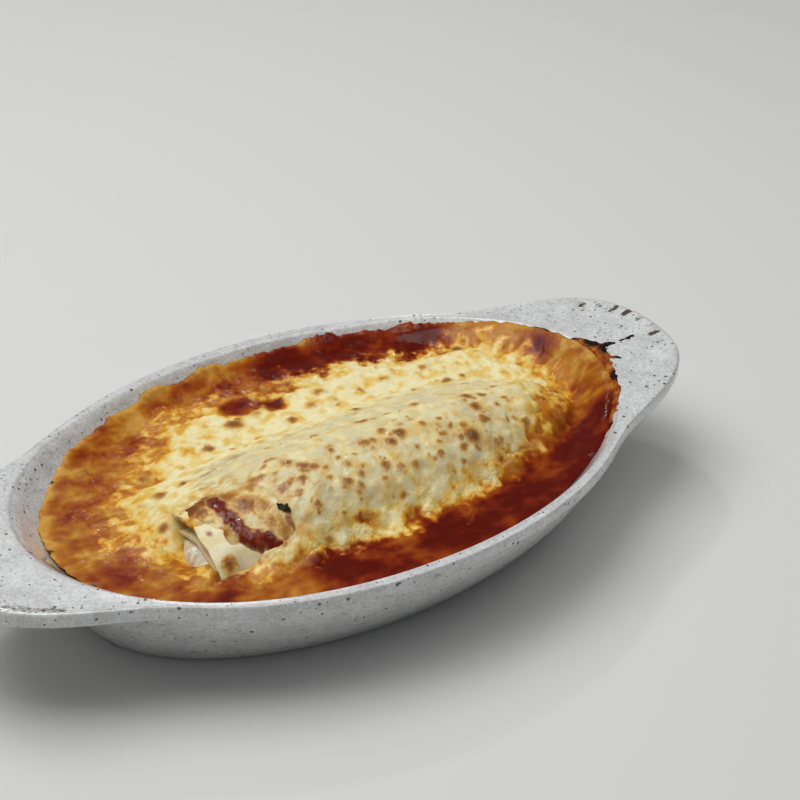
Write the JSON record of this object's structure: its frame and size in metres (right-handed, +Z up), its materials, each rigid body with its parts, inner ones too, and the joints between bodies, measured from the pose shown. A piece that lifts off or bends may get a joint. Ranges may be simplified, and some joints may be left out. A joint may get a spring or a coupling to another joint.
{
  "type": "baked manicotti in an oval gratin dish",
  "caption": "Oven-baked manicotti: a rolled sheet of pasta filled with ricotta, under melted cheese and tomato sauce, in a speckled oval stoneware gratin dish with lug handles",
  "frame": {"origin": "middle of the underside of the dish's foot, the bottom centre of the bounding box", "axes": "+X along the dish through both lug handles, with the roll's open mouth towards -X; +Y across the dish away from the roll; +Z up"},
  "size_m": [0.24, 0.1332, 0.0404],
  "materials": {
    "stoneware_glaze": "gloss glaze with iron specks",
    "baked_tomato_sauce": "wet and oily, browned at the edges",
    "cooked_pasta": "moist satin",
    "ricotta": "soft, moist and curdy",
    "melted_cheese": "oily satin with toasted spots",
    "dark_tomato_sauce": "wet gloss",
    "dried_herb": "matt"
  },
  "bodies": {
    "root": {"dish": "stoneware_glaze", "sauce": "baked_tomato_sauce", "pasta": "cooked_pasta", "filling": "ricotta", "cheese": "melted_cheese", "sauce_topping": "dark_tomato_sauce", "herb_flake": "dried_herb"}
  },
  "joints": []
}
